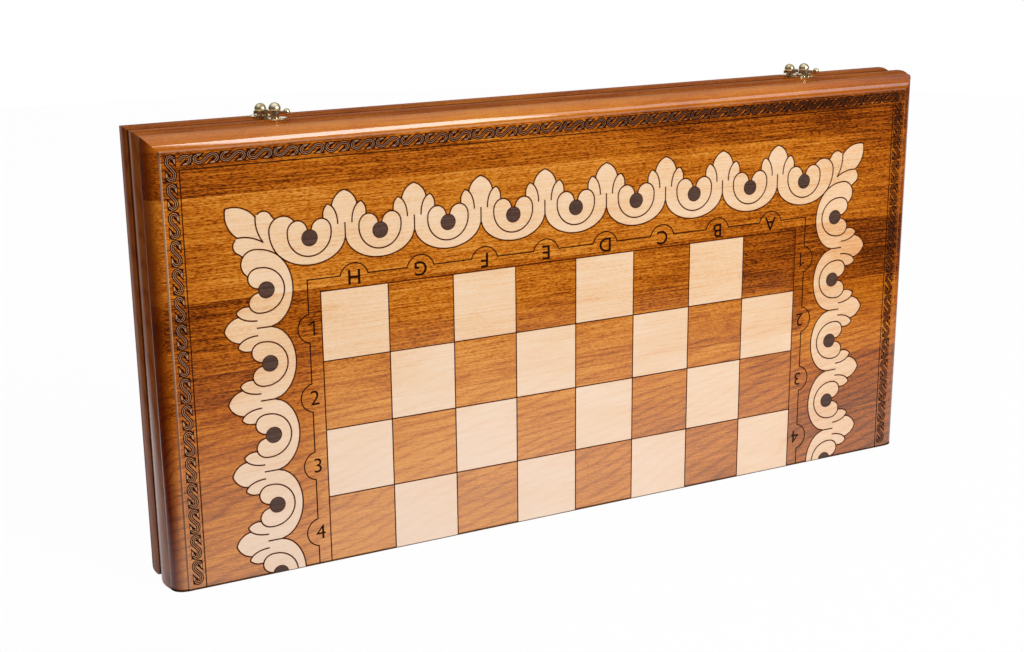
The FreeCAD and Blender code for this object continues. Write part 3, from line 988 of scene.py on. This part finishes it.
node_finish = {
    "board": board_finish, "top_wall": wall_finish, "hinge_wall": wall_finish, "left_wall": upright_finish,
    "right_wall": upright_finish, "light_squares": pale_finish, "light_points": pale_finish,
    "dark_points": dark_finish,
}
for name, cad_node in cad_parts.items():
    part_name = name.split("_", 1)[1]
    finish = node_finish.get(part_name, brass_finish)
    cad_node.data.materials.clear()
    cad_node.data.materials.append(finish)

inlay, burnt, spots, rims = scallop_border()
both_halves("scallop_inlay", inlay, pale_finish)
both_halves("scallop_lines", burnt, line_finish)
both_halves("scallop_dots", spots, dot_finish)
both_halves("scallop_dot_rims", rims, line_finish)
both_halves("frame_line", frame_line(), field_finish)
both_halves("square_lines", square_lines(), line_finish)
scroll_cuts, scroll_ridges = scroll_border()
both_halves("scroll_cuts", scroll_cuts, cut_finish)
both_halves("scroll_ridges", scroll_ridges, ridge_finish)
make_piece("front_letters", letters("HGFEDCBA", "1234"), field_finish, "front_half")
rear_points, rear_faces = letters("ABCDEFGH", "8765")
make_piece("rear_letters", (half_turn(rear_points), rear_faces), field_finish, "rear_half")
both_halves("screw_slots", screw_slots(), slot_shade_finish)
for half in ("front", "rear"):
    for side in ("left", "right"):
        nails = latch_nails(half + "_latch_plate_" + side)
        make_piece(half + "_latch_nails_" + side, nails, brass_finish, half + "_half")

# Camera, light and floor

camera_place = (-0.53407, -0.97635, 0.44651)
camera_azimuth = math.radians(27.12)
camera_drop = math.radians(15.75)
camera_roll = math.radians(-0.55)
camera_lens = 55.95
sensor_width = 36.0
floor_radius = 2.4
floor_spokes = 72
floor_drop = 0.2 * mm
floor_clearness = 0.97

# White of the floor in reflections: round its middle, behind the object, and not left of the object
glow_middle = (0.1, 0.25, 0.0)
glow_reach = (0.40, 0.85)
glow_behind = (0.0, 0.1)
glow_left = (-0.44, -0.34)
glow_slant = 0.27

# Studio round the object, by the upward share of a direction and its turn from +Y in radians
overhead_rise = (0.45, 0.95)
overhead_level = 0.9
backdrop_rise = (0.26, 0.19)
backdrop_left = (-0.32, -0.24)
backdrop_right = (1.3, 1.0)
room_level = 0.10

# Lamps
front_lamp = {"place": (1.05, -2.75, 1.60), "aim": (0.0, 0.0, 0.15), "width": 0.9, "height": 1.5, "power": 60.0}
side_lamp = {"place": (2.10, -2.40, 1.60), "aim": (0.0, 0.0, 0.28), "width": 1.2, "height": 1.2, "power": 18.0}


def make_camera():
    """Camera at the photograph's place: looking azimuth to the right of +Y and drop below level, rolled a
    little."""
    data = bpy.data.cameras.new("camera")
    data.lens = camera_lens
    data.sensor_width = sensor_width
    camera = bpy.data.objects.new("camera", data)
    bpy.context.scene.collection.objects.link(camera)
    a, d, r = camera_azimuth, camera_drop, camera_roll
    ahead = np.array([math.sin(a) * math.cos(d), math.cos(a) * math.cos(d), -math.sin(d)])
    level = np.array([math.cos(a), -math.sin(a), 0.0])
    above = np.cross(level, ahead)
    right = level * math.cos(r) + above * math.sin(r)
    up = above * math.cos(r) - level * math.sin(r)
    turn = Matrix(np.stack([right, up, -ahead], 1).tolist()).to_4x4()
    camera.matrix_world = Matrix.Translation(camera_place) @ turn
    bpy.context.scene.camera = camera


def make_lamp(name, place, aim, width, height, power):
    """Soft lamp of width by height at place, turned to aim."""
    data = bpy.data.lights.new(name, "AREA")
    data.shape = "RECTANGLE"
    data.size = width
    data.size_y = height
    data.energy = power
    lamp = bpy.data.objects.new(name, data)
    bpy.context.scene.collection.objects.link(lamp)
    way = np.array(aim) - np.array(place)
    back = -way / np.linalg.norm(way)
    side = np.cross([0.0, 0.0, 1.0], back)
    side /= np.linalg.norm(side)
    lamp.matrix_world = Matrix.Translation(place) @ Matrix(
        np.stack([side, np.cross(back, side), back], 1).tolist()).to_4x4()


def make_floor():
    """Round floor, clear to the camera but for a faint shadow of the object, and clear from below, where a
    half hangs when the box is opened. Reflections see it white near the object and dark far off in front."""
    radius = np.linspace(0, floor_radius, 24)[1:, None]
    angle = np.linspace(0, 2 * np.pi, floor_spokes + 1)[None, :-1]
    level = np.full_like(radius * angle, -floor_drop)
    rings = np.stack([radius * np.cos(angle), radius * np.sin(angle), level], -1)
    index = np.arange(rings.shape[0] * floor_spokes).reshape(-1, floor_spokes)
    quads = np.stack([index[:-1], index[1:], np.roll(index[1:], -1, 1), np.roll(index[:-1], -1, 1)], -1)
    mesh = bpy.data.meshes.new("floor")
    mesh.from_pydata(rings.reshape(-1, 3).tolist(), [], quads.reshape(-1, 4).tolist() + [index[0].tolist()])
    floor = bpy.data.objects.new("floor", mesh)
    bpy.context.scene.collection.objects.link(floor)
    material = bpy.data.materials.new("floor")
    material.use_nodes = True
    tree = material.node_tree
    tree.nodes.clear()
    path = node(tree, "LightPath").outputs
    spot = node(tree, "TexCoord").outputs["Object"]
    away = node(tree, "VectorMath", {0: spot, 1: glow_middle}, operation="DISTANCE").outputs["Value"]
    near = span(tree, away, *glow_reach, 1.0, 0.03)
    place = node(tree, "SeparateXYZ", {0: spot}).outputs
    behind = span(tree, place[1], *glow_behind)
    aslant = maths(tree, "MULTIPLY_ADD", place[1], glow_slant, place[0])
    lit = span(tree, aslant, *glow_left, 0.04, 1.0)
    mirrored = product(tree, maths(tree, "MAXIMUM", near, behind), lit)
    glow = node(tree, "Emission", {0: mirrored, 1: 1.0})
    shade = node(tree, "BsdfDiffuse", {0: (0.9, 0.9, 0.9, 1)})
    share = maths(tree, "MAXIMUM", path["Is Glossy Ray"], path["Is Transmission Ray"])
    mixed = node(tree, "MixShader", {0: share, 1: shade.outputs[0], 2: glow.outputs[0]})
    below = node(tree, "NewGeometry").outputs["Backfacing"]
    clear = maths(tree, "MAXIMUM", product(tree, path["Is Camera Ray"], floor_clearness), below)
    open_floor = node(tree, "BsdfTransparent")
    mixed = node(tree, "MixShader", {0: clear, 1: mixed.outputs[0], 2: open_floor.outputs[0]})
    output = node(tree, "OutputMaterial")
    tree.links.new(mixed.outputs[0], output.inputs[0])
    mesh.materials.append(material)


def make_world():
    """White to the camera. To the object a studio: a glow overhead, a low white backdrop behind and to the
    right, and a dim room elsewhere."""
    world = bpy.data.worlds.new("studio")
    bpy.context.scene.world = world
    world.use_nodes = True
    tree = world.node_tree
    tree.nodes.clear()
    toward = node(tree, "SeparateXYZ", {0: node(tree, "TexCoord").outputs["Generated"]}).outputs
    overhead = span(tree, toward[2], *overhead_rise, 0.0, overhead_level)
    turned = maths(tree, "ARCTAN2", toward[0], toward[1])
    wide = product(tree, span(tree, turned, *backdrop_left), span(tree, turned, *backdrop_right))
    backdrop = product(tree, wide, span(tree, toward[2], *backdrop_rise))
    level = maths(tree, "ADD", maths(tree, "MAXIMUM", overhead, backdrop), room_level)
    path = node(tree, "LightPath").outputs
    colour = blend(tree, "MIX", path["Is Camera Ray"], level, (1, 1, 1, 1))
    sky = node(tree, "Background", {0: colour, 1: 1.0})
    output = node(tree, "OutputWorld")
    tree.links.new(sky.outputs[0], output.inputs[0])


make_camera()
make_floor()
make_world()
make_lamp("front_softbox", **front_lamp)
make_lamp("side_softbox", **side_lamp)

bpy.context.scene.view_settings.view_transform = "Standard"
